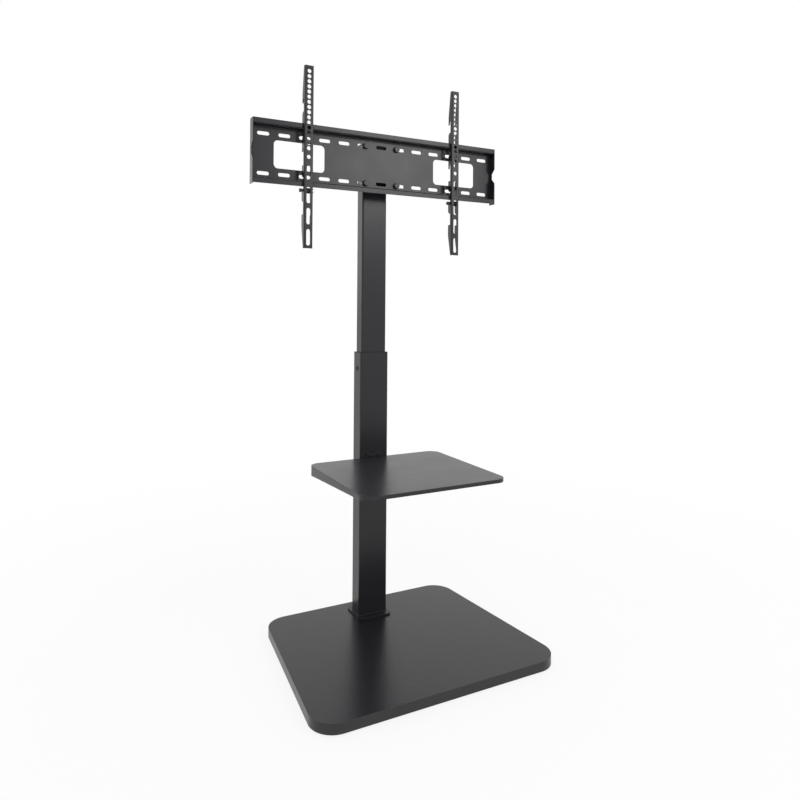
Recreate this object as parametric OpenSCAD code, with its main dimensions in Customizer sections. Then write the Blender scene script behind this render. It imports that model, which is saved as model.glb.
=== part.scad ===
// Free-standing television stand with a slotted wall-type mount head.
// A tapered base board carries a two-stage telescopic column with a cantilever
// shelf. The mount plate on the upper tube has two hook rails, and two channel
// arms hang on the rails, slide along them and are locked below by a cross bolt.
// Origin: middle of the base, on the floor. +Z is up, the screen faces -Y.

/* [Base] */
// Width of the base board along its front edge
base_front_w = 580; // [480:1:700]
// Width of the base board along its rear edge
base_rear_w = 499; // [420:1:700]
// Depth of the base board from front to rear
base_depth = 461; // [420:1:560]
// Radius of the four corners of the base board
base_corner_r = 52; // [20:1:90]
// Thickness of the base board
board_t = 21; // [18:0.5:30]
// Thickness of the band glued round the edge of the board
band_t = 1.2; // [0.8:0.1:2]
// Distance from the board's rear edge to the middle of the column
column_inset = 68.5; // [64:0.5:130]
// Diameter of a floor pad
pad_d = 28; // [20:1:40]
// Height of a floor pad
pad_h = 3; // [2:0.5:8]
// Distance between the left and right floor pads
pad_dx = 330; // [200:1:380]
// Distance from the front or rear edge of the board to a pad
pad_edge = 4; // [2:0.5:20]

/* [Foot of the column] */
// Width of the foot plate welded to the lower tube
foot_w = 88; // [82:1:120]
// Depth of the foot plate
foot_depth = 84; // [60:1:120]
// Thickness of the foot plate
foot_t = 4; // [3:0.5:8]
// Corner radius of the foot plate
foot_r = 13; // [3:0.5:18]
// Nominal diameter of the four foot bolts
foot_bolt_d = 8; // [6:1:10]
// Distance between the foot bolts from left to right
foot_bolt_dx = 48; // [40:1:54]
// Distance between the foot bolts from front to rear
foot_bolt_dy = 22; // [18:1:26]
// Width of the reinforcing plate under the board
under_w = 96; // [80:1:140]
// Depth of the reinforcing plate under the board
under_depth = 64; // [52:1:100]
// Thickness of the reinforcing plate
under_t = 3; // [2:0.5:5]
// Depth of the pocket in the underside of the board
pocket_h = 11; // [10:0.5:13]

/* [Column] */
// Outer width of the lower tube
lower_w = 76; // [74:0.5:80]
// Outer depth of the lower tube
lower_d = 44; // [42:0.5:50]
// Wall of the lower tube
lower_wall = 2; // [1.5:0.1:2.5]
// Outer corner radius of the lower tube
lower_r = 4; // [3:0.5:6]
// Length of the lower tube
lower_len = 650; // [560:1:760]
// Outer width of the upper tube
upper_w = 67; // [63:0.5:68]
// Outer depth of the upper tube
upper_d = 34; // [30:0.5:35]
// Wall of the upper tube
upper_wall = 2; // [1.5:0.1:2.5]
// Outer corner radius of the upper tube
upper_r = 4; // [3:0.5:6]
// Length of the upper tube that stands out of the lower tube
upper_show = 523; // [440:1:620]
// Length of the upper tube that stays inside the lower tube
upper_overlap = 150; // [130:1:180]
// Length of the guide bush inside the lower tube
bush_len = 60; // [50:1:90]
// Height of the bush's rim on the end of the lower tube
bush_rim = 2; // [1:0.5:4]
// Height of the glide block under the upper tube
glide_h = 12; // [8:1:20]
// Distance of the clamp screws below the top of the rim
clamp_drop = 41; // [30:1:46]
// Nominal diameter of the clamp screws
clamp_d = 8; // [6:1:8]

/* [Shelf] */
// Height of the shelf's top above the floor
shelf_z = 418; // [300:1:420]
// Width of the shelf
tray_w = 350; // [260:1:420]
// Depth of the shelf
tray_depth = 320; // [260:1:360]
// Corner radius of the shelf
tray_r = 26; // [14:1:40]
// Sheet thickness of the shelf
tray_t = 1.5; // [1:0.1:2]
// Height of the shelf's side flanges at the rear
tray_rear_h = 24; // [16:1:32]
// Height of the shelf's front lip
tray_front_h = 8; // [5:0.5:14]
// Width of the shelf bracket's back plate
bracket_w = 44; // [40:1:60]
// Sheet thickness of the shelf bracket
bracket_t = 2.5; // [2:0.1:3]
// Reach of the bracket's arms under the shelf
bracket_reach = 200; // [150:1:240]
// Height of the bracket's back plate above the shelf
bracket_rise = 10; // [9:0.5:20]
// Height of the bracket's back plate below the shelf's top
bracket_fall = 70; // [60:1:110]

/* [Mount plate] */
// Width of the mount plate
plate_w = 660; // [630:1:720]
// Overall height of the mount plate with both rails
plate_h = 147; // [140:1:150]
// Sheet thickness of the mount plate
plate_t = 2; // [1.5:0.1:2.5]
// Distance from the plate's face to the front of the rails
rail_depth = 20; // [16:0.5:24]
// Height of each rail's lip
lip_h = 11; // [10:0.5:13]
// Distance from one slot of a row to the next
slot_pitch = 50; // [46:1:52]
// Number of slots on each side of the middle one
slots_aside = 6; // [3:1:6]
// Overall length of a slot
slot_len = 28.5; // [26:0.5:36]
// Height of a slot
slot_h = 8.6; // [8.5:0.1:10]
// Distance between the two rows of slots
row_pitch = 91.5; // [88:0.5:94]
// Width of each cable window
window_w = 125; // [90:1:140]
// Height of each cable window
window_h = 65; // [40:1:68]
// Distance of a window's middle from the middle of the plate
window_x = 212.5; // [190:0.5:225]
// Distance of the plate's middle below the top of the upper tube
plate_drop = 57; // [55:0.5:75]
// Gap between the upper tube and the back of the plate
head_standoff = 33; // [26:1:50]

/* [Arms] */
// Distance between the middles of the two arms
arm_spread = 400; // [200:1:600]
// Length of an arm
arm_len = 425; // [420:1:450]
// Width of an arm
arm_w = 22; // [20:0.5:26]
// Depth of an arm from its front to the rear of its flanges
arm_d = 17; // [16.5:0.5:19]
// Sheet thickness of an arm
arm_t = 2; // [1.6:0.1:2.4]
// Diameter of the round screen holes
screen_hole_d = 9.5; // [8.5:0.1:10]
// Distance from one screen hole to the next
screen_hole_pitch = 12; // [11.5:0.1:12]
// Number of round screen holes in the upper row
screen_holes = 16; // [10:1:16]
// Distance from the first screen hole to the lower round hole
screen_step = 200; // [198:1:202]
// Overall length of the long slots
long_slot_len = 38; // [30:1:42]
// Distance from one long slot to the next
long_slot_pitch = 49; // [47:0.5:50]
// Distance from one hook to the next
hook_pitch = 57; // [56:0.5:58]
// Distance of the middle hook's seat below the top of an arm
hook_drop = 134; // [130:0.5:140]
// Length of a hook's tooth
tooth_len = 9; // [8:0.5:11]

/* [Hidden] */
$fn = 64;

// Clearances and overruns
cut = 2;
fit_gap = 0.1;
slide_gap = 0.3;
bore_gap = 0.05;
seat_gap = 0.3;

// Base, from the floor up
column_back = base_depth / 2 - column_inset;
board_z = pad_h;
board_top = board_z + board_t;
foot_top = board_top + foot_t;
tube_top = foot_top + lower_len;
rim_top = tube_top + bush_rim;
band_glue = fit_gap;
pocket_gap = 0.5;
pocket_r = 8;
under_r = pocket_r - pocket_gap;
under_z = board_z + pocket_h - under_t;
foot_hole_gap = 0.5;

// Hexagon heads and nuts as shares of the thread's diameter
hex_across_share = 1.62;
head_h_share = 0.66;
nut_h_share = 0.8;
washer_d_share = 2;
washer_h_share = 0.2;
socket_across_share = 0.5;
socket_h_share = 0.35;
chamfer_share = 0.08;

// Column
lower_in_w = lower_w - 2 * lower_wall;
lower_in_d = lower_d - 2 * lower_wall;
lower_in_r = lower_r - lower_wall;
upper_in_w = upper_w - 2 * upper_wall;
upper_in_d = upper_d - 2 * upper_wall;
upper_in_r = upper_r - upper_wall;
upper_bottom = rim_top - upper_overlap;
upper_top = rim_top + upper_show;
spigot_len = 25;
cap_h = 2.5;
clamp_z = rim_top - clamp_drop;
insert_flange_d = 13;
insert_flange_t = 1;
insert_body_d = 10.8;
insert_tip_gap = 0.4;
screw_recess = 0.6;

// Shelf
column_front = column_back - lower_d / 2;
tray_rear = column_front - bracket_t - seat_gap;
tray_front = tray_rear - tray_depth;
tray_under = shelf_z - tray_t;
bracket_tab_w = 16;
bracket_nose_h = 12;
bracket_corner_r = 6;
shelf_screw_d = 5;
shelf_screw_dx = 22;
button_d = 9;
button_gap = 0.7;
shelf_screw_rise = button_d / 2 + button_gap;
shelf_screw_fall = 52;
button_h = 2.8;
head_notch_w = shelf_screw_dx + button_d + 2 * button_gap;
head_notch_depth = button_h - seat_gap + button_gap;
shelf_screw_len = 14;
stud_d = 5;
stud_len = 10;
stud_inset = 40;
stud_hole_gap = 0.4;

// Mount head
head_front = column_back - upper_d / 2;
plate_back = head_front - head_standoff;
plate_front = plate_back - plate_t;
rail_front = plate_front - rail_depth;
plate_mid = upper_top - plate_drop;
plate_top = plate_mid + plate_h / 2;
plate_bottom = plate_mid - plate_h / 2;
bend_r = 1.5;
bend_out_r = bend_r + plate_t;
web_h = plate_h - 2 * lip_h;
window_r = 10;
row_sink = 2;
window_sink = 1;
end_drop = 1.5;
notch_h = 38;
notch_root_h = 14;
notch_depth = 12;
notch_rise = 1;
hat_t = 3;
hat_h = 118;
hat_tab_w = 16;
head_bolt_d = 8;
head_bolt_dx = 84;
head_hole_gap = 0.4;

// Arms
arm_lip_gap = 8.5;
arm_front = rail_front - arm_lip_gap;
arm_top = plate_top + seat_gap + hook_drop;
arm_bottom = arm_top - arm_len;
arm_bend_out = 2.5;
first_hole_drop = 13;
last_slot_rise = 25.5;
long_slots = 4;
top_taper_d = 8;
top_taper_h = 66;
end_taper_d = 6;
end_taper_h = 51;
rail_play = 1;
rail_slack = 2;
notch_in = arm_lip_gap - rail_play;
hook_slot_w = plate_t + rail_play + rail_slack;
hook_slot_r = 1.2;
tooth_tip_w = 3;
hook_mouth_h = 20.5;
catch_pitch = hook_pitch;
catch_fall = 153;
catch_mouth_h = 27;
catch_deep = 3;
catch_rise = 1.2;
catch_lead = 4;
shoulder_r = 8;
lock_d = 5;
lock_in = 10;
lock_standoff = 3.5;
lock_fall = 3.3;
sleeve_d = 12.5;
lock_head_h = 4.2;
lock_head_d = 9;
lock_nut_h = 4;
lock_tip = 1;

// Rounded convex outline: arcs of radius r about the centres, joined by
// tangents whose outward normals are given side by side.
module soft_outline(centres, normals, r) {
    n = len(centres);
    polygon([for (i = [0 : n - 1]) for (k = [0, 1]) centres[i] + r * normals[(i + k) % n]]);
    for (c = centres) translate(c) circle(r);
}

// Rectangle with round corners about the origin
module round_rect(w, h, r) {
    x = w / 2 - r;
    y = h / 2 - r;
    soft_outline([[x, -y], [x, y], [-x, y], [-x, -y]], [[0, -1], [1, 0], [0, 1], [-1, 0]], r);
}

// Slot along X with round ends, about the origin
module slot_shape(length, height) {
    square([length - height, height], center = true);
    for (s = [-1, 1]) translate([s * (length - height) / 2, 0]) circle(height / 2);
}

// Rectangular tube standing on the given height
module rect_tube(w, d, r, wall, z, h) {
    translate([0, column_back, z]) difference() {
        linear_extrude(h) round_rect(w, d, r);
        translate([0, 0, -cut]) linear_extrude(h + 2 * cut)
            round_rect(w - 2 * wall, d - 2 * wall, r - wall);
    }
}

// Cylinder along X, Y or Z from the origin
module bar_x(r, h) { rotate([0, 90, 0]) cylinder(r = r, h = h); }
module bar_y(r, h) { rotate([-90, 0, 0]) cylinder(r = r, h = h); }

// Hexagon of a given width across its flats, standing on the origin
module hex_block(across, h) { cylinder(r = across / 2 / cos(30), h = h, $fn = 6); }

// Hexagon head with its bearing face at the origin, head below and shank above
module hex_bolt(d, length) {
    head = head_h_share * d;
    translate([0, 0, -head]) intersection() {
        hex_block(hex_across_share * d, head);
        union() {
            translate([0, 0, chamfer_share * d]) cylinder(r = hex_across_share * d, h = head);
            cylinder(r1 = hex_across_share * d / 2, r2 = hex_across_share * d * 0.6,
                h = 2 * chamfer_share * d);
        }
    }
    cylinder(r = d / 2, h = length);
}

// Hexagon nut standing on the origin
module hex_nut(d) {
    difference() {
        hex_block(hex_across_share * d, nut_h_share * d);
        translate([0, 0, -cut]) cylinder(r = d / 2 + bore_gap, h = nut_h_share * d + 2 * cut);
    }
}

// Plain washer standing on the origin
module flat_washer(d) {
    difference() {
        cylinder(r = washer_d_share * d / 2, h = washer_h_share * d);
        translate([0, 0, -cut]) cylinder(r = d / 2 + fit_gap, h = washer_h_share * d + 2 * cut);
    }
}

// Outline of the base: a trapezoid with round corners, taken in by shrink
function base_slope() = atan((base_front_w - base_rear_w) / 2 / base_depth);
function base_side_x(y) = base_front_w / 2 - (y + base_depth / 2) * tan(base_slope());

module base_outline(shrink) {
    y = base_depth / 2 - base_corner_r;
    inset = base_corner_r / cos(base_slope());
    xf = base_side_x(-y) - inset;
    xr = base_side_x(y) - inset;
    side = [cos(base_slope()), sin(base_slope())];
    soft_outline([[xf, -y], [xr, y], [-xr, y], [-xf, -y]],
        [[0, -1], side, [0, 1], [-side[0], side[1]]], base_corner_r - shrink);
}

// Places children at the four foot bolts
module at_foot_bolts(z) {
    for (sx = [-1, 1]) for (sy = [-1, 1])
        translate([sx * foot_bolt_dx / 2, column_back + sy * foot_bolt_dy / 2, z]) children();
}

module base_board() {
    color("#1f1f20") difference() {
        translate([0, 0, board_z]) linear_extrude(board_t) base_outline(band_t + band_glue);
        translate([0, column_back, board_z - cut]) linear_extrude(pocket_h + cut)
            round_rect(under_w + 2 * pocket_gap, under_depth + 2 * pocket_gap, pocket_r);
        at_foot_bolts(board_z) cylinder(r = foot_bolt_d / 2 + foot_hole_gap, h = board_t + cut);
    }
}

module base_edge_band() {
    color("#2a2a2b") translate([0, 0, board_z]) difference() {
        linear_extrude(board_t) base_outline(0);
        translate([0, 0, -cut]) linear_extrude(board_t + 2 * cut) base_outline(band_t);
    }
}

module base_pads() {
    y = base_depth / 2 - pad_edge - pad_d / 2;
    color("#111111") for (sx = [-1, 1]) for (sy = [-1, 1])
        translate([sx * pad_dx / 2, sy * y, 0]) cylinder(r = pad_d / 2, h = pad_h);
}

module under_plate() {
    color("#3a3a3c") difference() {
        translate([0, column_back, under_z]) linear_extrude(under_t)
            round_rect(under_w, under_depth, under_r);
        at_foot_bolts(under_z - cut) cylinder(r = foot_bolt_d / 2 + head_hole_gap, h = under_t + 2 * cut);
    }
}

module foot_plate() {
    color("#1c1c1d") difference() {
        translate([0, column_back, board_top]) linear_extrude(foot_t)
            round_rect(foot_w, foot_depth, foot_r);
        at_foot_bolts(board_top - cut) cylinder(r = foot_bolt_d / 2 + bore_gap, h = foot_t + 2 * cut);
    }
}

module foot_bolts() {
    z = under_z - washer_h_share * foot_bolt_d;
    color("#5a5a5c") at_foot_bolts(z) hex_bolt(foot_bolt_d, foot_top - z);
}

module foot_washers() {
    z = under_z - washer_h_share * foot_bolt_d;
    color("#6a6a6c") at_foot_bolts(z) flat_washer(foot_bolt_d);
}

// Places children at the four shelf screws, with +Z pointing to the rear
module at_shelf_screws(y) {
    for (sx = [-1, 1]) for (z = [shelf_z + shelf_screw_rise, shelf_z - shelf_screw_fall])
        translate([sx * shelf_screw_dx / 2, y, z]) rotate([-90, 0, 0]) children();
}

// Places children at the clamp screw of one side, with +Z pointing outwards
module at_clamp(side) {
    translate([0, column_back, clamp_z]) rotate([0, side * 90, 0]) children();
}

module lower_tube() {
    color("#2b2b2d") difference() {
        rect_tube(lower_w, lower_d, lower_r, lower_wall, foot_top, lower_len);
        for (side = [-1, 1]) at_clamp(side) translate([0, 0, lower_in_w / 2 - cut])
            cylinder(r = insert_body_d / 2 + fit_gap, h = lower_wall + 2 * cut);
        at_shelf_screws(column_front - cut)
            cylinder(r = shelf_screw_d / 2 + fit_gap, h = lower_wall + 2 * cut);
    }
}

module top_bush() {
    w = lower_in_w - 2 * fit_gap;
    d = lower_in_d - 2 * fit_gap;
    color("#161617") difference() {
        translate([0, column_back, 0]) union() {
            translate([0, 0, tube_top]) linear_extrude(bush_rim) round_rect(lower_w, lower_d, lower_r);
            translate([0, 0, tube_top - bush_len]) linear_extrude(bush_len + bush_rim)
                round_rect(w, d, lower_in_r - fit_gap);
        }
        translate([0, column_back, tube_top - bush_len - cut])
            linear_extrude(bush_len + bush_rim + 2 * cut)
            round_rect(upper_w + 2 * slide_gap, upper_d + 2 * slide_gap, upper_r + slide_gap);
        for (side = [-1, 1]) at_clamp(side) translate([0, 0, upper_w / 2 - cut])
            cylinder(r = insert_body_d / 2 + slide_gap, h = lower_wall + 2 * cut);
    }
}

module clamp_inserts() {
    inner = upper_w / 2 + insert_tip_gap;
    color("#4c4c4e") for (side = [-1, 1]) at_clamp(side) difference() {
        union() {
            translate([0, 0, inner]) cylinder(r = insert_body_d / 2, h = lower_w / 2 - inner);
            translate([0, 0, lower_w / 2]) cylinder(r = insert_flange_d / 2, h = insert_flange_t);
        }
        translate([0, 0, inner - cut])
            cylinder(r = clamp_d / 2 + bore_gap, h = lower_w / 2 + insert_flange_t - inner + 2 * cut);
    }
}

// Grub screw with a hexagon socket, its tip just off the upper tube
module clamp_screw(side) {
    tip = upper_w / 2 + slide_gap;
    top = lower_w / 2 + insert_flange_t - screw_recess;
    socket_h = socket_h_share * clamp_d;
    color("#101011") at_clamp(side) difference() {
        translate([0, 0, tip]) cylinder(r = clamp_d / 2, h = top - tip);
        translate([0, 0, top - socket_h]) hex_block(socket_across_share * clamp_d, socket_h + cut);
    }
}

module clamp_screw_left() { clamp_screw(-1); }
module clamp_screw_right() { clamp_screw(1); }

// Places children at the four studs under the shelf, measured from its rear
module at_studs(z) {
    for (sx = [-1, 1]) for (y = [tray_rear - stud_inset, tray_rear - bracket_reach + stud_inset / 2])
        translate([sx * (bracket_w + bracket_tab_w) / 2, y, z]) children();
}

// Side view of the shelf's flanges: deep at the rear, shallow at the front
module tray_side_cut() {
    polygon([[-cut, -cut - tray_rear_h], [-cut, -tray_rear_h], [tray_depth, -tray_front_h],
        [tray_depth + cut, -tray_front_h], [tray_depth + cut, -cut - tray_rear_h]]);
}

module shelf_tray() {
    mid_y = (tray_rear + tray_front) / 2;
    gate = bracket_w + 2 * bracket_tab_w + 2 * stud_d;
    color("#39393b") union() {
        translate([0, mid_y, tray_under]) linear_extrude(tray_t) difference() {
            round_rect(tray_w, tray_depth, tray_r);
            translate([-head_notch_w / 2, tray_depth / 2 - head_notch_depth])
                square([head_notch_w, head_notch_depth + cut]);
        }
        difference() {
            translate([0, mid_y, shelf_z - tray_rear_h]) linear_extrude(tray_rear_h - tray_t)
                difference() {
                    round_rect(tray_w, tray_depth, tray_r);
                    round_rect(tray_w - 2 * tray_t, tray_depth - 2 * tray_t, tray_r - tray_t);
                }
            translate([tray_w / 2 + cut, tray_rear, shelf_z]) rotate([90, 0, -90])
                linear_extrude(tray_w + 2 * cut) tray_side_cut();
            translate([-gate / 2, tray_rear - tray_t - cut, shelf_z - tray_rear_h - cut])
                cube([gate, tray_t + 2 * cut, tray_rear_h - tray_t + cut]);
        }
        at_studs(tray_under - stud_len) cylinder(r = stud_d / 2, h = stud_len);
    }
}

// Side view of one bracket arm: along the rear, then tapering under the shelf
module bracket_side() {
    fall = bracket_fall - tray_t;
    polygon([[0, 0], [bracket_reach, 0], [bracket_reach, -bracket_nose_h + bracket_corner_r],
        [bracket_reach - bracket_corner_r, -bracket_nose_h], [bracket_t, -fall], [0, -fall]]);
}

module shelf_bracket() {
    color("#242426") difference() {
        union() {
            translate([-bracket_w / 2, column_front - bracket_t, shelf_z - bracket_fall])
                cube([bracket_w, bracket_t, bracket_fall + bracket_rise]);
            for (s = [-1, 1]) {
                translate([s * (bracket_w - bracket_t) / 2 + bracket_t / 2, column_front, tray_under])
                    rotate([90, 0, -90]) linear_extrude(bracket_t) bracket_side();
                translate([s * (bracket_w + bracket_tab_w) / 2, column_front - bracket_reach / 2
                    - bracket_corner_r / 2, tray_under - bracket_t / 2])
                    cube([bracket_tab_w, bracket_reach - bracket_corner_r, bracket_t], center = true);
            }
        }
        at_shelf_screws(column_front - bracket_t - cut)
            cylinder(r = shelf_screw_d / 2 + fit_gap, h = bracket_t + 2 * cut);
        at_studs(tray_under - bracket_t - cut)
            cylinder(r = stud_d / 2 + stud_hole_gap, h = bracket_t + 2 * cut);
    }
}

module shelf_screws() {
    socket_h = socket_h_share * shelf_screw_d;
    color("#0e0e0f") at_shelf_screws(column_front - bracket_t) difference() {
        union() {
            translate([0, 0, -button_h]) cylinder(r1 = button_d / 2 - button_h / 2, r2 = button_d / 2,
                h = button_h);
            cylinder(r = shelf_screw_d / 2, h = shelf_screw_len);
        }
        translate([0, 0, -button_h - cut]) hex_block(socket_across_share * shelf_screw_d, socket_h + cut);
    }
}

module shelf_weld_nuts() {
    color("#6a6a6c") at_shelf_screws(column_front + lower_wall) hex_nut(shelf_screw_d);
}

module tray_nuts() {
    color("#6a6a6c") at_studs(tray_under - bracket_t) mirror([0, 0, 1]) hex_nut(stud_d);
}

module upper_tube() {
    color("#2b2b2d") rect_tube(upper_w, upper_d, upper_r, upper_wall, upper_bottom,
        upper_overlap + upper_show);
}

module bottom_glide() {
    color("#161617") translate([0, column_back, upper_bottom]) union() {
        translate([0, 0, -glide_h]) linear_extrude(glide_h)
            round_rect(lower_in_w - 2 * slide_gap, lower_in_d - 2 * slide_gap, lower_in_r - slide_gap);
        linear_extrude(spigot_len)
            round_rect(upper_in_w - 2 * fit_gap, upper_in_d - 2 * fit_gap, upper_in_r - fit_gap);
    }
}

module tube_cap() {
    color("#161617") translate([0, column_back, upper_top]) union() {
        linear_extrude(cap_h) round_rect(upper_w, upper_d, upper_r);
        translate([0, 0, -spigot_len]) linear_extrude(spigot_len)
            round_rect(upper_in_w - 2 * fit_gap, upper_in_d - 2 * fit_gap, upper_in_r - fit_gap);
    }
}

// Places children at the four head bolts, with +Z pointing to the rear
module at_head_bolts(y) {
    for (sx = [-1, 1]) for (sz = [-1, 1])
        translate([sx * head_bolt_dx / 2, y, plate_mid - row_sink + sz * row_pitch / 2])
            rotate([-90, 0, 0]) children();
}

// Top view of the hat-shaped bracket, with its web on the tube at y = 0
module hat_section() {
    half = upper_w / 2;
    translate([-half, -hat_t]) square([upper_w, hat_t]);
    for (s = [-1, 1]) {
        translate([s * (half - hat_t / 2) - hat_t / 2, -head_standoff]) square([hat_t, head_standoff]);
        translate([s * (half + hat_tab_w / 2) - hat_tab_w / 2 - hat_t / 2, -head_standoff])
            square([hat_tab_w + hat_t, hat_t]);
    }
}

module head_bracket() {
    color("#2f2f31") difference() {
        translate([0, head_front, plate_mid - row_sink - hat_h / 2]) linear_extrude(hat_h) hat_section();
        at_head_bolts(plate_back - cut) cylinder(r = head_bolt_d / 2 + head_hole_gap, h = hat_t + 2 * cut);
    }
}

// Quarter of a bent sheet: centre of the bend at the origin, in the +x +y quarter
module bend_quarter() {
    intersection() {
        difference() {
            circle(bend_out_r);
            circle(bend_r);
        }
        square(bend_out_r + cut);
    }
}

// Upper rail in side view, x to the front and y up, from the web at the origin.
// The sheet bends forwards at a right angle and then up into the lip.
module rail_section() {
    foot = bend_r + plate_t;
    translate([-plate_t, -foot]) square([plate_t, cut]);
    translate([bend_r, -foot]) rotate([0, 0, 90]) bend_quarter();
    translate([bend_r, -plate_t]) square([rail_depth - plate_t - 2 * bend_r, plate_t]);
    translate([rail_depth - bend_out_r, bend_r]) rotate([0, 0, -90]) bend_quarter();
    translate([rail_depth - plate_t, bend_r]) square([plate_t, lip_h - bend_r]);
}

// Flat web of the mount plate seen from the front, about its middle
module web_shape() {
    flat_h = web_h - 2 * (bend_r + plate_t) + 2 * cut;
    difference() {
        square([plate_w, flat_h], center = true);
        for (k = [-slots_aside : slots_aside]) for (s = [-1, 1])
            translate([k * slot_pitch, s * row_pitch / 2 - row_sink]) slot_shape(slot_len, slot_h);
        for (s = [-1, 1]) translate([s * window_x, -window_sink])
            round_rect(window_w, window_h, window_r);
    }
}

// End flange of the plate in side view, x to the front from the back of the sheet
module end_flange_shape() {
    depth = rail_depth + plate_t;
    difference() {
        translate([0, -plate_h / 2 - end_drop]) square([depth, plate_h + end_drop]);
        translate([0, notch_rise]) polygon([[depth + cut, notch_h / 2], [depth, notch_h / 2],
            [depth - notch_depth, notch_root_h / 2], [depth - notch_depth, -notch_root_h / 2],
            [depth, -notch_h / 2], [depth + cut, -notch_h / 2]]);
    }
}

// Turns a side view (x to the front, y up) into a sheet of width w about x = 0
module side_sheet(w) {
    translate([w / 2, 0, 0]) rotate([90, 0, -90]) linear_extrude(w) children();
}

module mount_plate() {
    color("#3a3a3c") translate([0, plate_back, plate_mid]) union() {
        rotate([90, 0, 0]) linear_extrude(plate_t) web_shape();
        for (s = [0, 1]) mirror([0, 0, s]) translate([0, -plate_t, web_h / 2])
            side_sheet(plate_w) rail_section();
        for (s = [-1, 1]) translate([s * (plate_w - plate_t) / 2, 0, 0])
            side_sheet(plate_t) end_flange_shape();
    }
}

module head_bolts() {
    y = plate_front - washer_h_share * head_bolt_d;
    reach = plate_back + hat_t + nut_h_share * head_bolt_d + chamfer_share * head_bolt_d;
    color("#171718") at_head_bolts(y) hex_bolt(head_bolt_d, reach - y);
}

module head_washers() {
    color("#2a2a2b") at_head_bolts(plate_front - washer_h_share * head_bolt_d) flat_washer(head_bolt_d);
}

module head_nuts() {
    color("#4c4c4e") at_head_bolts(plate_back + hat_t) hex_nut(head_bolt_d);
}

// Side view of an arm's flange: x to the rear from the arm's front, y down from
// its top. Three hooks for the upper rail and three catches for the lower rail
// are cut into the rear edge.
module flange_shape() {
    difference() {
        polygon([[arm_bend_out, 0], [top_taper_d, 0], [arm_d, -top_taper_h],
            [arm_d, -arm_len + end_taper_h], [end_taper_d, -arm_len], [arm_bend_out, -arm_len]]);
        for (k = [-1 : 1]) translate([0, -hook_drop + k * hook_pitch]) hook_cut();
        for (k = [-1 : 1]) translate([0, -hook_drop - catch_fall + k * catch_pitch])
            catch_cut(abs(k) * catch_deep);
        for (k = [-1 : 0])
            translate([arm_d, -hook_drop - catch_fall + k * catch_pitch + catch_mouth_h]) shoulder_cut();
    }
}

// Hook notch with its seat at y = 0: a slot behind the tooth, then the mouth
module hook_cut() {
    tip = arm_d - tooth_tip_w;
    for (x = [hook_slot_r, hook_slot_w - hook_slot_r])
        translate([notch_in + x, -hook_slot_r]) circle(hook_slot_r);
    translate([notch_in + hook_slot_r, -tooth_len])
        square([hook_slot_w - 2 * hook_slot_r, tooth_len]);
    polygon([[notch_in, -tooth_len - hook_mouth_h], [notch_in, -hook_slot_r],
        [notch_in + hook_slot_w, -hook_slot_r], [tip, -tooth_len], [arm_d + cut, -tooth_len],
        [arm_d + cut, -tooth_len - hook_mouth_h]]);
    translate([arm_d, -tooth_len - hook_mouth_h]) mirror([0, 1]) shoulder_cut();
}

// Catch notch with the rear end of its floor at y = -deep: the floor falls to
// the rear as a lead-in for the lower rail's lip
module catch_cut(deep) {
    polygon([[notch_in, catch_mouth_h], [notch_in, catch_rise - deep],
        [arm_d - catch_lead, catch_rise - deep], [arm_d, -deep], [arm_d + cut, -deep],
        [arm_d + cut, catch_mouth_h]]);
}

// Rounds the corner of a mouth: the corner is at the origin, the flange lies
// to its left and above
module shoulder_cut() {
    difference() {
        translate([-shoulder_r, -fit_gap]) square([shoulder_r + cut, shoulder_r + fit_gap]);
        translate([-shoulder_r, shoulder_r]) circle(shoulder_r);
        translate([-shoulder_r - cut, 0]) square([cut, shoulder_r]);
    }
}

// Top view of the arm's web with its two bends, x across and y to the rear
module spine_section() {
    half = arm_w / 2;
    translate([-half + arm_bend_out, 0]) square([arm_w - 2 * arm_bend_out, arm_t]);
    for (s = [-1, 1]) translate([s * (half - arm_bend_out), arm_bend_out]) intersection() {
        difference() {
            circle(arm_bend_out);
            circle(arm_bend_out - arm_t);
        }
        translate([s * arm_bend_out / 2, -arm_bend_out / 2]) square(arm_bend_out, center = true);
    }
}

// Holes of the arm's web seen from the front, x across and y down from its top
module screen_hole_shapes() {
    for (i = [0 : screen_holes - 1]) translate([0, -first_hole_drop - i * screen_hole_pitch])
        circle(screen_hole_d / 2);
    translate([0, -first_hole_drop - screen_step]) circle(screen_hole_d / 2);
    for (i = [0 : long_slots - 1]) translate([0, -arm_len + last_slot_rise + i * long_slot_pitch])
        rotate([0, 0, 90]) slot_shape(long_slot_len, screen_hole_d);
}

// Height of the lock bolt's axis above the floor
function lock_z() = arm_top - hook_drop - catch_fall - lock_fall;

module arm(x) {
    color("#2e2e30") difference() {
        translate([x, arm_front, arm_top]) union() {
            difference() {
                translate([0, 0, -arm_len]) linear_extrude(arm_len) spine_section();
                translate([0, arm_t + cut, 0]) rotate([90, 0, 0]) linear_extrude(arm_t + 2 * cut)
                    screen_hole_shapes();
            }
            for (s = [-1, 1]) translate([s * (arm_w - arm_t) / 2 - arm_t / 2, 0, 0])
                rotate([90, 0, 90]) linear_extrude(arm_t) flange_shape();
        }
        translate([x - arm_w / 2 - cut, arm_front + lock_in, lock_z()])
            bar_x(lock_d / 2 + bore_gap, arm_w + 2 * cut);
    }
}

module left_arm() { arm(-arm_spread / 2); }
module right_arm() { arm(arm_spread / 2); }

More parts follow.
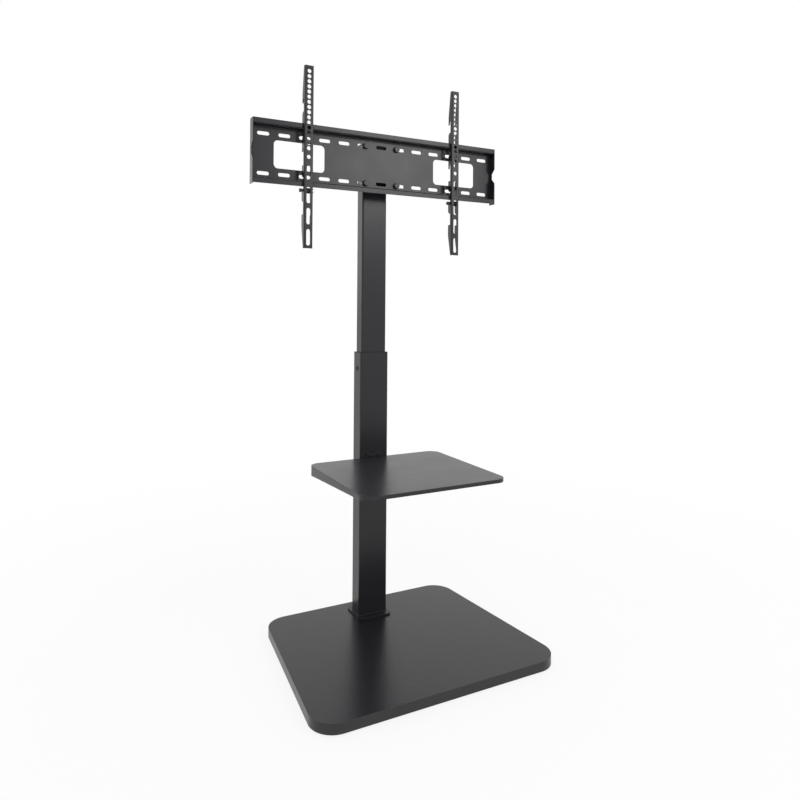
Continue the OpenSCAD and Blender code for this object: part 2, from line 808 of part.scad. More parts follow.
// Cross bolt through both flanges, below the lower rail's lip
module lock_bolt(x) {
    socket_h = socket_h_share * lock_d;
    left = x - arm_w / 2 - fit_gap;
    head = lock_head_h + lock_standoff;
    color("#0e0e0f") translate([left, arm_front + lock_in, lock_z()]) difference() {
        union() {
            translate([-head, 0, 0]) bar_x(lock_head_d / 2, lock_head_h);
            translate([-lock_standoff, 0, 0])
                bar_x(lock_d / 2, lock_standoff + arm_w + 2 * fit_gap + lock_nut_h + lock_tip);
        }
        translate([-head - cut, 0, 0]) rotate([0, 90, 0])
            hex_block(socket_across_share * lock_head_d, socket_h + cut);
    }
}

module left_lock_bolt() { lock_bolt(-arm_spread / 2); }
module right_lock_bolt() { lock_bolt(arm_spread / 2); }

module lock_sleeve(x) {
    length = arm_w - 2 * arm_t - 2 * seat_gap;
    color("#0a0a0b") translate([x - length / 2, arm_front + lock_in, lock_z()]) difference() {
        bar_x(sleeve_d / 2, length);
        translate([-cut, 0, 0]) bar_x(lock_d / 2 + bore_gap, length + 2 * cut);
    }
}

module left_lock_sleeve() { lock_sleeve(-arm_spread / 2); }
module right_lock_sleeve() { lock_sleeve(arm_spread / 2); }

module lock_nut(x) {
    color("#4c4c4e") translate([x + arm_w / 2, arm_front + lock_in, lock_z()]) difference() {
        rotate([0, 90, 0]) hex_block(hex_across_share * lock_d, lock_nut_h);
        translate([-cut, 0, 0]) bar_x(lock_d / 2 + bore_gap, lock_nut_h + 2 * cut);
    }
}

module left_lock_nut() { lock_nut(-arm_spread / 2); }
module right_lock_nut() { lock_nut(arm_spread / 2); }

base_board();
base_edge_band();
base_pads();
under_plate();
foot_plate();
foot_bolts();
foot_washers();
lower_tube();
top_bush();
clamp_inserts();
clamp_screw_left();
clamp_screw_right();
shelf_tray();
shelf_bracket();
shelf_screws();
shelf_weld_nuts();
tray_nuts();
upper_tube();
bottom_glide();
tube_cap();
head_bracket();
mount_plate();
head_bolts();
head_washers();
head_nuts();
left_arm();
right_arm();
left_lock_bolt();
right_lock_bolt();
left_lock_sleeve();
right_lock_sleeve();
left_lock_nut();
right_lock_nut();
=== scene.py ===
"""Finishes, weld beads and studio for the floor stand of a flat screen.

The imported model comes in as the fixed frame. Each sub-assembly of the stand is a class that
dresses its own pieces and adds what is too fine for the construction model. All lengths are
in metres, in the frame of the construction: the origin is on the floor in the middle of the
base, +Z is up and the screen faces -Y.
"""
import logging
import math
from collections.abc import Callable, Iterable, Mapping, Sequence
from dataclasses import dataclass, field
from enum import Enum

import bmesh
import bpy
from mathutils import Matrix, Vector


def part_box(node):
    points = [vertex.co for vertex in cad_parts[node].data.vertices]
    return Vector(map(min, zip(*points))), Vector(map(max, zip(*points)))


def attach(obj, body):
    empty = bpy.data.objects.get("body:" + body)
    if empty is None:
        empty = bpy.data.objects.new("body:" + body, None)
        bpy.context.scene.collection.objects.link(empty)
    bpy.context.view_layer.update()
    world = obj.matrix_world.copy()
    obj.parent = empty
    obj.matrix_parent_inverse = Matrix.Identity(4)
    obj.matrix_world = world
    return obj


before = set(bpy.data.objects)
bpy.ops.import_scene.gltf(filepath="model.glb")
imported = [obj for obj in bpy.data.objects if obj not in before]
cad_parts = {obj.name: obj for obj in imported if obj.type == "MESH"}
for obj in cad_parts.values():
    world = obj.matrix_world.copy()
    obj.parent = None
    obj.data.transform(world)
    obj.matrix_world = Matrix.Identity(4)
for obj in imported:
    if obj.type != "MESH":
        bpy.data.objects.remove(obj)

LOG = logging.getLogger("stand")
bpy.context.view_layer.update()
MM = 0.001
# Faces that meet at less than this angle are shaded as one smooth surface.
SMOOTH_BELOW = math.radians(32)
# How many straight steps stand for a quarter of a circle.
ARC_STEPS = 6

Colour = tuple[float, float, float]
Point = tuple[float, float, float]
Range = tuple[float, float]
Mesh = bmesh.types.BMesh
Socket = bpy.types.NodeSocket
Layer = tuple[Socket, float]


class Side(Enum):
    """The two sides of the stand, with the sign of their X."""

    LEFT = -1
    RIGHT = 1

    @property
    def word(self) -> str:
        """The side's name as the pieces use it."""
        return self.name.lower()


# Shader sketches


class Sketch:
    """Lays out the shader nodes of one material around a Principled shader.

    Attributes:
        material: the material.
        tree: its nodes and the links between them.
        shader: its Principled shader.
        output: its output.
        place: the place on the piece, in metres.
        BEVEL_SAMPLES: how many samples the softened normal takes.
        EDGE_MATCH: the cosine of the angle between the softened and the plain normal, where an
            edge is lightened in full, partly as wear and partly as a painted highlight, and where
            that ends.
        NOISE_SPREAD: the range in which nearly all values of the noise lie.
    """

    BEVEL_SAMPLES = 4
    EDGE_MATCH: Range = (0.80, 0.99)
    NOISE_SPREAD: Range = (0.2, 0.8)

    def __init__(self, name: str) -> None:
        """Starts a material with a shader, an output and coordinates in metres.

        Args:
            name: the material's name.
        """
        self.material = bpy.data.materials.new(name)
        self.material.use_nodes = True
        self.tree = self.material.node_tree
        self.tree.nodes.clear()
        self.shader = self.node("ShaderNodeBsdfPrincipled")
        self.output = self.node("ShaderNodeOutputMaterial")
        self.link(self.shader.outputs["BSDF"], self.output.inputs["Surface"])
        self.place = self.node("ShaderNodeTexCoord").outputs["Object"]

    def node(self, kind: str, **settings: object) -> bpy.types.Node:
        """Adds a node.

        Args:
            kind: the node's type name.
            settings: attributes to set on it.

        Returns:
            The new node.
        """
        made = self.tree.nodes.new(kind)
        for key, value in settings.items():
            setattr(made, key, value)
        return made

    def link(self, source: Socket, target: Socket) -> None:
        """Joins an output to an input."""
        self.tree.links.new(source, target)

    def set(self, **values: object) -> None:
        """Sets uniform values on the shader's own sockets, named with _ for a space."""
        for key, value in values.items():
            self.shader.inputs[key.replace("_", " ")].default_value = value

    def noise(self, cell: float, detail: float = 2.0, stretch: Point = (1, 1, 1)) -> Socket:
        """Adds soft noise.

        Args:
            cell: the size of its blotches, in metres.
            detail: how many finer layers it has.
            stretch: how much longer its blotches are along X, Y and Z.

        Returns:
            The socket with its values from 0 to 1.
        """
        scale = self.node("ShaderNodeMapping")
        scale.inputs["Scale"].default_value = [1 / (cell * s) for s in stretch]
        self.link(self.place, scale.inputs["Vector"])
        noise = self.node("ShaderNodeTexNoise")
        noise.inputs["Scale"].default_value = 1.0
        noise.inputs["Detail"].default_value = detail
        self.link(scale.outputs["Vector"], noise.inputs["Vector"])
        return noise.outputs["Fac"]

    def cells(self, cell: float) -> Socket:
        """Adds a field of cells, such as orange peel has.

        Args:
            cell: the size of a cell, in metres.

        Returns:
            The socket with the distance from the middle of the nearest cell.
        """
        scale = self.node("ShaderNodeVectorMath", operation="SCALE")
        scale.inputs["Scale"].default_value = 1 / cell
        self.link(self.place, scale.inputs[0])
        voronoi = self.node("ShaderNodeTexVoronoi", feature="F1")
        voronoi.inputs["Scale"].default_value = 1.0
        self.link(scale.outputs["Vector"], voronoi.inputs["Vector"])
        return voronoi.outputs["Distance"]

    def span(self, value: Socket, source: Range, target: Range) -> Socket:
        """Maps a value from one range onto another, and holds it at the ends.

        Args:
            value: the value.
            source: the range that it comes in.
            target: the numbers that the two ends of that range become.

        Returns:
            The socket with the mapped value.
        """
        span = self.node("ShaderNodeMapRange")
        names = ("From Min", "From Max", "To Min", "To Max")
        for name, number in zip(names, (*source, *target)):
            span.inputs[name].default_value = number
        self.link(value, span.inputs["Value"])
        return span.outputs["Result"]

    def blend(self, amount: Socket, first: Colour | Socket, second: Colour) -> Socket:
        """Mixes two colours by a value.

        Args:
            amount: 0 for the first colour and 1 for the second.
            first: a colour, or a socket with one.
            second: a colour.

        Returns:
            The socket with the mixed colour.
        """
        mix = self.node("ShaderNodeMix", data_type="RGBA")
        start, end = (socket for socket in mix.inputs if socket.type == "RGBA")
        if isinstance(first, tuple):
            start.default_value = (*first, 1)
        else:
            self.link(first, start)
        end.default_value = (*second, 1)
        self.link(amount, mix.inputs["Factor"])
        return next(socket for socket in mix.outputs if socket.type == "RGBA")

    def edges(self, radius: float) -> tuple[Socket, Socket]:
        """Finds the sharp edges of the piece and rounds them off.

        Args:
            radius: how far the softening reaches, in metres.

        Returns:
            The softened normal, and a value that is 1 on an edge and 0 away from it. The value
            lightens the edges' colour, partly as wear and partly as a painted highlight.
        """
        bevel = self.node("ShaderNodeBevel", samples=self.BEVEL_SAMPLES)
        bevel.inputs["Radius"].default_value = radius
        match = self.node("ShaderNodeVectorMath", operation="DOT_PRODUCT")
        self.link(bevel.outputs["Normal"], match.inputs[0])
        self.link(self.node("ShaderNodeNewGeometry").outputs["Normal"], match.inputs[1])
        worn_and_highlit = self.span(match.outputs["Value"], self.EDGE_MATCH, (1.0, 0.0))
        return bevel.outputs["Normal"], worn_and_highlit

    def relief(self, normal: Socket, layers: Iterable[Layer]) -> None:
        """Raises the surface by layers, one over the other.

        Args:
            normal: the normal to start from.
            layers: a height value and a depth in metres for each layer.
        """
        for value, depth in layers:
            bump = self.node("ShaderNodeBump")
            bump.inputs["Distance"].default_value = depth
            self.link(value, bump.inputs["Height"])
            self.link(normal, bump.inputs["Normal"])
            normal = bump.outputs["Normal"]
        self.link(normal, self.shader.inputs["Normal"])


def tinted(colour: Colour, by: float) -> Colour:
    """A colour made lighter or darker by a factor."""
    return tuple(min(1.0, channel * by) for channel in colour)


@dataclass(frozen=True)
class Finish:
    """A surface finish with the grain and the unevenness that all of them share.

    Attributes:
        name: the material's name.
        slot: the record's material slot.
        colour: its base colour.
        roughness: its mean roughness.
        uneven: how much the roughness drifts across the surface.
        patch: size of the patches in which the roughness drifts, in metres.
        mottle: how much the colour drifts, as a share.
        cloud: size of the clouds in which the colour drifts, in metres.
        grain: size of the grain, in metres.
        depth: depth of the grain, in metres.
        metal: 1 for bare metal.
        bend: refractive index of the surface, which sets its shine.
        edge: how far the lightened and rounded edges reach, in metres.
        wear_and_highlight_tint: how much lighter the colour is on an edge, partly as wear and
            partly as a painted highlight.
    """

    name: str
    slot: str
    colour: Colour
    roughness: float
    uneven: float = 0.02
    patch: float = 50 * MM
    mottle: float = 0.06
    cloud: float = 60 * MM
    grain: float = 1.2 * MM
    depth: float = 0.003 * MM
    metal: float = 0.0
    bend: float = 1.45
    edge: float = 0.6 * MM
    # Lighter colour on the edges: partly wear, partly a painted highlight.
    wear_and_highlight_tint: float = 2.0

    def layers(self, sketch: Sketch) -> list[Layer]:
        """The relief of the finish, coarse to fine."""
        return [(sketch.noise(self.grain, detail=3), self.depth)]

    def material(self) -> bpy.types.Material:
        """Makes the material, or finds the one made before.

        Returns:
            The material.
        """
        known = bpy.data.materials.get(self.name)
        if known is not None:
            return known
        sketch = Sketch(self.name)
        dark, light = (tinted(self.colour, 1 + self.mottle * sign) for sign in (-1, 1))
        face = sketch.blend(sketch.noise(self.cloud, detail=3), dark, light)
        soft, worn_and_highlit = sketch.edges(self.edge)
        # Edges get a lighter colour: partly wear, partly a painted highlight.
        colour = sketch.blend(worn_and_highlit, face, tinted(self.colour, self.wear_and_highlight_tint))
        sketch.link(colour, sketch.shader.inputs["Base Color"])
        drift = sketch.noise(self.patch, detail=1)
        ends = (self.roughness - self.uneven, self.roughness + self.uneven)
        rough = sketch.span(drift, sketch.NOISE_SPREAD, ends)
        sketch.link(rough, sketch.shader.inputs["Roughness"])
        sketch.set(Metallic=self.metal, IOR=self.bend)
        sketch.relief(soft, self.layers(sketch))
        return sketch.material


@dataclass(frozen=True)
class PowderCoat(Finish):
    """Baked powder on sheet steel: a fine orange peel over a finer grain.

    Attributes:
        peel: size of the cells of the orange peel, in metres.
        peel_depth: their depth, in metres.
    """

    peel: float = 3.5 * MM
    peel_depth: float = 0.002 * MM

    def layers(self, sketch: Sketch) -> list[Layer]:
        """Orange peel, then the grain of the powder."""
        return [(sketch.cells(self.peel), self.peel_depth),
                (sketch.noise(self.grain), self.depth)]


@dataclass(frozen=True)
class Laminate(Finish):
    """Melamine face of the board: pressed with a fine pore, smooth between the pores.

    Attributes:
        wave: length of the board's slow waves, in metres. The finish's depth is theirs.
        pore: size of the pores, in metres.
        pore_depth: their depth, in metres.
        pore_stretch: how much longer they are along X, Y and Z.
    """

    wave: float = 40 * MM
    pore: float = 1.6 * MM
    pore_depth: float = 0.001 * MM
    pore_stretch: Point = (3, 1, 1)

    def layers(self, sketch: Sketch) -> list[Layer]:
        """Slow waviness of the board, then the pores, drawn out along X."""
        return [(sketch.noise(self.wave, detail=1), self.depth),
                (sketch.noise(self.pore, stretch=self.pore_stretch), self.pore_depth)]


@dataclass(frozen=True)
class Moulded(Finish):
    """Moulded plastic or rubber with a spark-eroded grain."""

    def layers(self, sketch: Sketch) -> list[Layer]:
        """One layer of rounded cells."""
        return [(sketch.cells(self.grain), self.depth)]


@dataclass(frozen=True)
class Plated(Finish):
    """Plated or blackened steel with fine turning marks round the bar.

    Attributes:
        marks: size of the marks, in metres.
        marks_stretch: how much longer they are along X, Y and Z.
    """

    marks: float = 0.25 * MM
    marks_stretch: Point = (8, 8, 1)

    def layers(self, sketch: Sketch) -> list[Layer]:
        """Marks drawn out along X and Y, over a faint pitting."""
        return [(sketch.noise(self.marks, detail=1, stretch=self.marks_stretch), self.depth),
                (sketch.noise(self.grain), self.depth)]


BLACK: Colour = (0.0093, 0.0092, 0.0125)
POWDER = PowderCoat("powder_coat_black", "powder_coat", BLACK, roughness=0.29)
# The foot plate's coat, darker than the tube's: painted shade round the foot of the column.
FOOT_PAINTED_SHADE = PowderCoat("powder_coat_foot_painted_shade", "powder_coat", (0.0065, 0.0064, 0.0085),
                  roughness=0.40, wear_and_highlight_tint=1.0)
TRAY = PowderCoat("powder_coat_tray", "powder_coat", BLACK, roughness=0.30,
                  peel_depth=0.0015 * MM, edge=4 * MM, wear_and_highlight_tint=1.0)
BOARD_FACE = Laminate("melamine_black", "board", (0.0052, 0.0051, 0.0082), roughness=0.28,
                      uneven=0.012, depth=0.006 * MM, edge=0.4 * MM)
EDGE_BAND = Laminate("edge_band_black", "edge_band", (0.016, 0.016, 0.017),
                     roughness=0.32, edge=0.4 * MM)
NYLON = Moulded("nylon_black", "nylon", (0.005, 0.005, 0.005), roughness=0.55,
                grain=0.5 * MM, depth=0.01 * MM)
RUBBER = Moulded("rubber_black", "pad_rubber", BLACK, roughness=0.8, grain=0.8 * MM,
                 depth=0.02 * MM)
BLACK_STEEL = Plated("steel_black", "black_steel", BLACK, roughness=0.30, grain=0.6 * MM,
                     depth=0.0012 * MM, edge=0.4 * MM)
ZINC = Plated("steel_zinc", "zinc_steel", (0.60, 0.60, 0.62), roughness=0.32, mottle=0.12,
              grain=0.9 * MM, metal=1.0, edge=0.3 * MM, wear_and_highlight_tint=1.15)
# The coat on the weld beads, darker than the rest: painted shade in the seams they fill.
WELD_PAINTED_SHADE = Finish("weld_coat_painted_shade", "powder_coat", (0.006, 0.006, 0.006), roughness=0.45,
              grain=0.9 * MM, depth=0.03 * MM, wear_and_highlight_tint=1.0)


# Mesh tools


def dress(finishes: Mapping[str, Finish], prefix: str = "") -> None:
    """Gives pieces of the construction their finishes.

    Args:
        finishes: the finish of each piece, by the piece's name.
        prefix: what stands before each of those names.
    """
    for name, finish in finishes.items():
        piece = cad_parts[prefix + name]
        material = finish.material()
        if not piece.material_slots:
            piece.data.materials.append(material)
        for slot in piece.material_slots:
            slot.material = material
        LOG.info("dressed %s with %s", prefix + name, finish.name)


def new_piece(name: str, mesh: Mesh, body: str, finish: Finish) -> None:
    """Turns a built mesh into a smooth piece that rides on a body.

    Args:
        name: the piece's name.
        mesh: its mesh, which is freed.
        body: the body it rides on.
        finish: its finish.
    """
    bmesh.ops.recalc_face_normals(mesh, faces=mesh.faces)
    data = bpy.data.meshes.new(name)
    mesh.to_mesh(data)
    mesh.free()
    data.shade_smooth()
    data.set_sharp_from_angle(angle=SMOOTH_BELOW)
    piece = bpy.data.objects.new(name, data)
    bpy.context.collection.objects.link(piece)
    data.materials.append(finish.material())
    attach(piece, body)
    LOG.info("built %s on %s", name, body)


def rings(mesh: Mesh, loops: Sequence[Sequence[Vector]], closed: bool) -> None:
    """Skins a row of point loops with quads.

    Args:
        mesh: the mesh to add to.
        loops: loops with the same number of points each.
        closed: True if the last loop joins the first; otherwise both ends are capped.
    """
    made = [[mesh.verts.new(point) for point in loop] for loop in loops]
    count = len(made[0])
    spans = list(zip(made, made[1:])) + ([(made[-1], made[0])] if closed else [])
    for first, second in spans:
        for i in range(count):
            j = (i + 1) % count
            mesh.faces.new((first[i], first[j], second[j], second[i]))
    if not closed:
        mesh.faces.new(made[0][::-1])
        mesh.faces.new(made[-1])


def rounded_path(centre: Vector, half: Vector, corner: float, step: float) -> list[Vector]:
    """Lays points round an upright tube, evenly spaced.

    Args:
        centre: the middle of the outline.
        half: half its width and depth, in X and Y.
        corner: its corner radius.
        step: the distance from point to point.

    Returns:
        The points.
    """
    x, y = half.x - corner, half.y - corner
    outline: list[Vector] = []
    for sx, sy, start in ((1, 1, 0), (-1, 1, 90), (-1, -1, 180), (1, -1, 270)):
        for k in range(ARC_STEPS + 1):
            t = math.radians(start + 90 * k / ARC_STEPS)
            turn = Vector((math.cos(t), math.sin(t), 0))
            outline.append(centre + Vector((sx * x, sy * y, 0)) + corner * turn)
    return evenly(outline, step)


def evenly(outline: Sequence[Vector], step: float) -> list[Vector]:
    """Spaces points along a closed outline.

    Args:
        outline: its corners, in order.
        step: the distance from point to point.

    Returns:
        The points.
    """
    path: list[Vector] = []
    for a, b in zip(outline, list(outline[1:]) + [outline[0]]):
        count = max(1, round((b - a).length / step))
        path += [a.lerp(b, k / count) for k in range(count)]
    return path


@dataclass(frozen=True)
class Bead:
    """A weld bead, whose round section swells from one puddle to the next.

    Attributes:
        size: its mean radius, in metres.
        swell: how much a puddle swells it, as a share.
        puddle: how many points of its path one puddle takes.
        waver: how uneven it is besides, as a share.
        waver_rate: how fast that changes, in radians for each point.
        sides: the corners of its section.
    """

    size: float
    swell: float = 0.13
    puddle: float = 2.6
    waver: float = 0.05
    waver_rate: float = 1.7
    sides: int = 8

    def radius(self, i: int) -> float:
        """Its radius at a point of its path."""
        swell = self.swell * math.sin(2 * math.pi * i / self.puddle)
        return self.size * (1 + swell + self.waver * math.sin(self.waver_rate * i))

    def sweep(self, path: Sequence[Vector], outward: Callable[[int], Vector],
              closed: bool) -> Mesh:
        """Sweeps the bead along a path.

        Args:
            path: the points that it follows.
            outward: gives the direction away from the seam at a point.
            closed: True if it ends where it starts.

        Returns:
            The bead's mesh.
        """
        mesh = bmesh.new()
        loops = []
        last = len(path) - 1
        for i, point in enumerate(path):
            ahead = path[(i + 1) % len(path)] if closed else path[min(i + 1, last)]
            behind = path[i - 1] if closed else path[max(i - 1, 0)]
            along = (ahead - behind).normalized()
            side = outward(i)
            side = (side - along * side.dot(along)).normalized()
            up = along.cross(side)
            r = self.radius(i)
            turns = [2 * math.pi * k / self.sides for k in range(self.sides)]
            loops.append([point + side * r * math.cos(t) + up * r * math.sin(t) for t in turns])
        rings(mesh, loops, closed)
        return mesh


# Sub-assemblies


@dataclass
class Base:
    """The board on its pads, with the plate that spreads the column's load.

    Attributes:
        finishes: the finish of each piece.
    """

    finishes: dict[str, Finish] = field(default_factory=lambda: {
        "base_board": BOARD_FACE, "base_edge_band": EDGE_BAND, "base_pads": RUBBER,
        "under_plate": ZINC, "foot_bolts": ZINC, "foot_washers": ZINC})

    def build(self) -> None:
        """Dresses the board, its band, pads and hidden fixings."""
        dress(self.finishes)


@dataclass
class Column:
    """The two tubes, the foot plate, the bush and the set screws.

    Attributes:
        body: the body that the foot's weld rides on.
        bead: the weld round the foot.
        bead_step: the distance from point to point along it.
        bead_rise: how high its middle stands over the foot plate.
        tube_corner: the corner radius that it follows.
        finishes: the finish of each piece.
    """

    body: str = "base"
    bead: Bead = Bead(1.2 * MM)
    bead_step: float = 1.1 * MM
    bead_rise: float = 0.24 * MM
    tube_corner: float = 4 * MM
    finishes: dict[str, Finish] = field(default_factory=lambda: {
        "foot_plate": FOOT_PAINTED_SHADE, "lower_tube": POWDER, "upper_tube": POWDER, "top_bush": NYLON,
        "bottom_glide": NYLON, "tube_cap": NYLON, "clamp_inserts": BLACK_STEEL,
        "clamp_screw_left": BLACK_STEEL, "clamp_screw_right": BLACK_STEEL})

    def build(self) -> None:
        """Dresses the column and welds its foot."""
        dress(self.finishes)
        self.weld_foot()

    def weld_foot(self) -> None:
        """Runs a bead round the lower tube, where it stands on the foot plate."""
        low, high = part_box("lower_tube")
        middle = (low + high) / 2
        middle.z = low.z + self.bead_rise
        path = rounded_path(middle, (high - low) / 2, self.tube_corner, self.bead_step)
        mesh = self.bead.sweep(path, lambda i: path[i] - middle, closed=True)
        new_piece("foot_weld", mesh, self.body, WELD_PAINTED_SHADE)


@dataclass
class Shelf:
    """The folded tray on its bracket.

    Attributes:
        finishes: the finish of each piece.
    """

    finishes: dict[str, Finish] = field(default_factory=lambda: {
        "shelf_tray": TRAY, "shelf_bracket": POWDER, "shelf_screws": BLACK_STEEL,
        "shelf_weld_nuts": ZINC, "tray_nuts": ZINC})

    def build(self) -> None:
        """Dresses the tray, the bracket and their fixings."""
        dress(self.finishes)


@dataclass
class MountHead:
    """The slotted plate on its bracket at the top of the column.

    Attributes:
        body: the body that the welds ride on.
        bead: the weld between bracket and tube.
        bead_length: the length of one bead.
        bead_steps: how many steps its path has.
        bead_place: how far it sits from the bracket's middle, as a share of the bracket's
            height.
        finishes: the finish of each piece.
    """

    body: str = "upper_column"
    bead: Bead = Bead(1.3 * MM)
    bead_length: float = 26 * MM
    bead_steps: int = 24
    bead_place: float = 0.3
    finishes: dict[str, Finish] = field(default_factory=lambda: {
        "mount_plate": POWDER, "head_bracket": POWDER, "head_bolts": BLACK_STEEL,
        "head_washers": BLACK_STEEL, "head_nuts": ZINC})

    def build(self) -> None:
        """Dresses the head and welds its bracket to the tube."""
        dress(self.finishes)
        for side in Side:
            for end in (-1, 1):
                self.weld_bracket(side, end)

    def weld_bracket(self, side: Side, end: int) -> None:
        """Runs one upright bead in the corner of the bracket and the tube.

        Args:
            side: the side of the tube.
            end: -1 for the lower bead and 1 for the upper one.
        """
        low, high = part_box("head_bracket")
        tube_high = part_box("upper_tube")[1]
        middle = (low.z + high.z) / 2 + end * self.bead_place * (high.z - low.z)
        rises = [self.bead_length * (k / self.bead_steps - 0.5)
                 for k in range(self.bead_steps + 1)]
        path = [Vector((side.value * tube_high.x, high.y, middle + rise)) for rise in rises]
        away = Vector((side.value, 0, 0))
        mesh = self.bead.sweep(path, lambda i: away, closed=False)
        height = "upper" if end > 0 else "lower"
        new_piece(f"head_weld_{side.word}_{height}", mesh, self.body, WELD_PAINTED_SHADE)


@dataclass
class ScreenArm:
    """One hook-on arm with its cross bolt, sleeve and nut.

    Attributes:
        side: the side of the stand that it hangs on.
        finishes: the finish of each piece, by its name without the side.
    """

    side: Side
    finishes: dict[str, Finish] = field(default_factory=lambda: {
        "arm": POWDER, "lock_bolt": BLACK_STEEL, "lock_sleeve": NYLON, "lock_nut": ZINC})

    def build(self) -> None:
        """Dresses the arm and its lock."""
        dress(self.finishes, prefix=f"{self.side.word}_")


# Studio


@dataclass
class PhotoCamera:
    """The photograph's camera.

    Attributes:
        place: where it stands.
        yaw: how far it is turned from +Y, anticlockwise seen from above, in degrees.
        pitch: how far it looks up, in degrees.
        roll: how far it leans to its left, in degrees.
        focal: its focal length, in pixels of the photograph.
        centre_row: the row of pixels that its axis meets, counted from the top.
        frame_size: the width and height of the photograph, in pixels.
        sensor: the width of its sensor, in millimetres.
        far: how far it sees.
    """

    place: Point = (-0.73446, -1.39578, 0.79872)
    yaw: float = -27.68
    pitch: float = 0.88
    roll: float = 0.38
    focal: float = 674.62
    centre_row: float = 294.85
    frame_size: float = 800.0
    sensor: float = 36.0
    far: float = 60.0

    def build(self) -> None:
        """Sets up the scene's camera."""
        data = bpy.data.cameras.new("photo_camera")
        data.sensor_width = self.sensor
        data.lens = self.sensor * self.focal / self.frame_size
        data.shift_y = (self.centre_row - self.frame_size / 2) / self.frame_size
        data.clip_end = self.far
        camera = bpy.data.objects.new("photo_camera", data)
        bpy.context.collection.objects.link(camera)
        yaw, pitch, roll = (math.radians(a) for a in (self.yaw, self.pitch, self.roll))
        ahead = Vector((-math.sin(yaw) * math.cos(pitch), math.cos(yaw) * math.cos(pitch),
                        math.sin(pitch)))
        level = Vector((math.cos(yaw), math.sin(yaw), 0))
        above = level.cross(ahead)
        right = level * math.cos(roll) + above * math.sin(roll)
        up = above * math.cos(roll) - level * math.sin(roll)
        turn = Matrix((right, up, -ahead)).transposed().to_4x4()
        camera.matrix_world = Matrix.Translation(self.place) @ turn
        bpy.context.scene.camera = camera


@dataclass(frozen=True)
class Softbox:
    """A large rectangular lamp.

    Attributes:
        name: its name.
        place: where its middle hangs.
        aim: the point that it faces.
        width: its width.
        height: its height.
        power: its power, in watts.
    """

    name: str
    place: Point
    aim: Point
    width: float
    height: float
    power: float

    def build(self) -> None:
        """Hangs the lamp."""
        data = bpy.data.lights.new(self.name, "AREA")
        data.shape = "RECTANGLE"
        data.size, data.size_y = self.width, self.height
        data.energy = self.power
        lamp = bpy.data.objects.new(self.name, data)
        bpy.context.collection.objects.link(lamp)
        lamp.location = self.place
        towards = Vector(self.aim) - Vector(self.place)
        lamp.rotation_euler = towards.to_track_quat("-Z", "Y").to_euler()


def seen_directly(tree: bpy.types.NodeTree) -> Socket:
    """Adds a value that is 1 for the camera, for reflections and through glass, else 0.

    Args:
        tree: the nodes of a material or of the world.

    Returns:
        The socket with the value.
    """
    path = tree.nodes.new("ShaderNodeLightPath")
    total = path.outputs["Is Camera Ray"]
    for name in ("Is Glossy Ray", "Is Transmission Ray"):
        add = tree.nodes.new("ShaderNodeMath")
        add.operation = "ADD"
        add.use_clamp = True
        tree.links.new(total, add.inputs[0])
        tree.links.new(path.outputs[name], add.inputs[1])
        total = add.outputs["Value"]
    return total


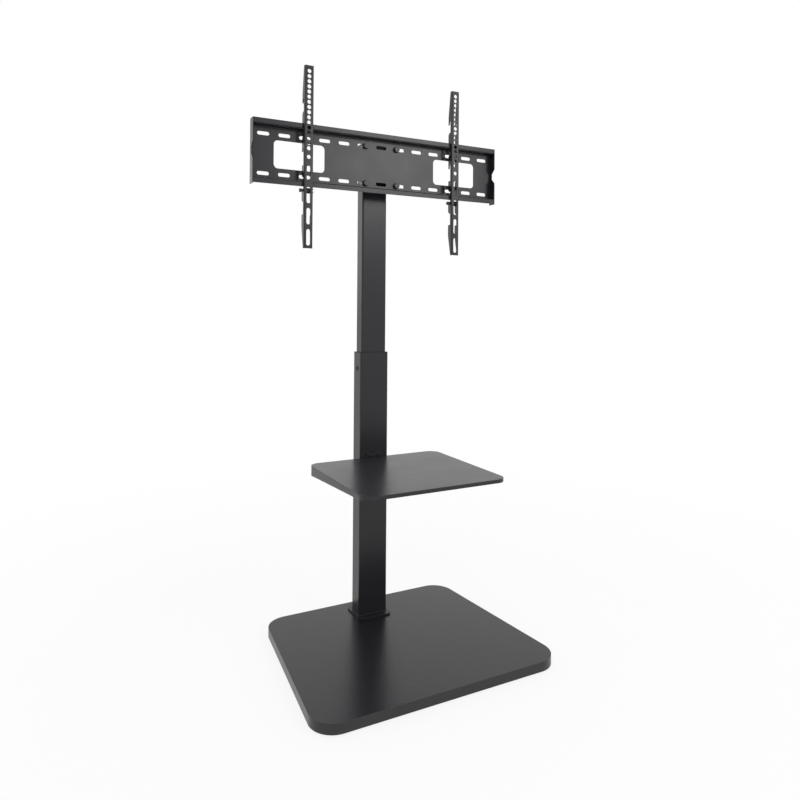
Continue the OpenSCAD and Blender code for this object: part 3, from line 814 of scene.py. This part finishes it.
@dataclass
class Studio:
    """White room: pale floor, even light from all round and three softboxes.

    Attributes:
        floor_size: length of the floor's sides.
        floor_cells: how many squares the floor has along a side.
        floor_drop: how far it lies under the pads, so that the faces don't touch.
        floor_tones: the two whites between which its colour drifts.
        floor_cloud: size of the clouds in which it drifts.
        floor_roughness: how matt it is.
        room_light: strength of the light from all round.
        wall_light: strength at which the room is seen, where 1 is white.
        shadow_share: how much of the floor's own shading is seen near the stand.
        shadow_reach: the distances at which that begins and ends to fade.
        boxes: the lamps.
    """

    floor_size: float = 40.0
    floor_cells: int = 8
    floor_drop: float = 0.2 * MM
    floor_tones: tuple[Colour, Colour] = ((0.90, 0.90, 0.90), (0.92, 0.92, 0.92))
    floor_cloud: float = 0.3
    floor_roughness: float = 0.9
    room_light: float = 0.85
    wall_light: float = 1.0
    shadow_share: float = 0.16
    shadow_reach: Range = (0.7, 1.9)
    boxes: tuple[Softbox, ...] = (
        Softbox("key_softbox", place=(-1.6, -2.6, 2.8), aim=(0, 0.1, 0.9),
                width=1.2, height=1.2, power=12),
        Softbox("front_softbox", place=(0.91, -1.66, 1.60), aim=(0.0, 0.11, 1.18),
                width=0.84, height=0.60, power=7.2),
        Softbox("back_softbox", place=(-0.95, 2.2, 1.25), aim=(-0.03, 0.16, 1.0),
                width=0.9, height=0.75, power=1.2),
    )

    def build(self) -> None:
        """Lays the floor, lights the room and sets the plain view."""
        self.lay_floor()
        self.light_room()
        for box in self.boxes:
            box.build()
        bpy.context.scene.view_settings.view_transform = "Standard"

    def lay_floor(self) -> None:
        """Lays a white floor that shows a soft shadow of the stand."""
        mesh = bmesh.new()
        bmesh.ops.create_grid(mesh, x_segments=self.floor_cells, y_segments=self.floor_cells,
                              size=self.floor_size / 2)
        data = bpy.data.meshes.new("studio_floor")
        mesh.to_mesh(data)
        mesh.free()
        floor = bpy.data.objects.new("studio_floor", data)
        floor.location.z = -self.floor_drop
        bpy.context.collection.objects.link(floor)
        data.materials.append(self.floor_material())

    def floor_material(self) -> bpy.types.Material:
        """Makes a matt white that keeps the stand's shadow, and is plain white further out.

        Returns:
            The material.
        """
        sketch = Sketch("studio_white")
        clouds = sketch.noise(self.floor_cloud, detail=1)
        colour = sketch.blend(clouds, *self.floor_tones)
        sketch.link(colour, sketch.shader.inputs["Base Color"])
        sketch.set(Roughness=self.floor_roughness)
        glow = sketch.node("ShaderNodeEmission")
        mix = sketch.node("ShaderNodeMixShader")
        away = sketch.node("ShaderNodeVectorMath", operation="LENGTH")
        sketch.link(sketch.place, away.inputs[0])
        white = sketch.span(away.outputs["Value"], self.shadow_reach, (1 - self.shadow_share, 1.0))
        share = sketch.node("ShaderNodeMath", operation="MULTIPLY")
        sketch.link(seen_directly(sketch.tree), share.inputs[0])
        sketch.link(white, share.inputs[1])
        sketch.link(share.outputs["Value"], mix.inputs["Fac"])
        sketch.link(sketch.shader.outputs["BSDF"], mix.inputs[1])
        sketch.link(glow.outputs["Emission"], mix.inputs[2])
        sketch.link(mix.outputs["Shader"], sketch.output.inputs["Surface"])
        return sketch.material

    def light_room(self) -> None:
        """Lights the room evenly. The camera, reflections and glass see it pure white."""
        world = bpy.data.worlds.new("studio_room")
        bpy.context.scene.world = world
        world.use_nodes = True
        tree = world.node_tree
        tree.nodes.clear()
        mix = tree.nodes.new("ShaderNodeMixShader")
        out = tree.nodes.new("ShaderNodeOutputWorld")
        for strength, socket in ((self.room_light, mix.inputs[1]),
                                 (self.wall_light, mix.inputs[2])):
            light = tree.nodes.new("ShaderNodeBackground")
            light.inputs["Color"].default_value = (1, 1, 1, 1)
            light.inputs["Strength"].default_value = strength
            tree.links.new(light.outputs["Background"], socket)
        tree.links.new(seen_directly(tree), mix.inputs["Fac"])
        tree.links.new(mix.outputs["Shader"], out.inputs["Surface"])


def main() -> None:
    """Builds the stand's sub-assemblies and the studio."""
    logging.basicConfig(level=logging.INFO, format="%(name)s: %(message)s")
    parts = (Base(), Column(), Shelf(), MountHead(), ScreenArm(Side.LEFT),
             ScreenArm(Side.RIGHT))
    for part in parts:
        part.build()
        LOG.info("finished %s", type(part).__name__)
    PhotoCamera().build()
    Studio().build()


if __name__ == "__main__":
    main()
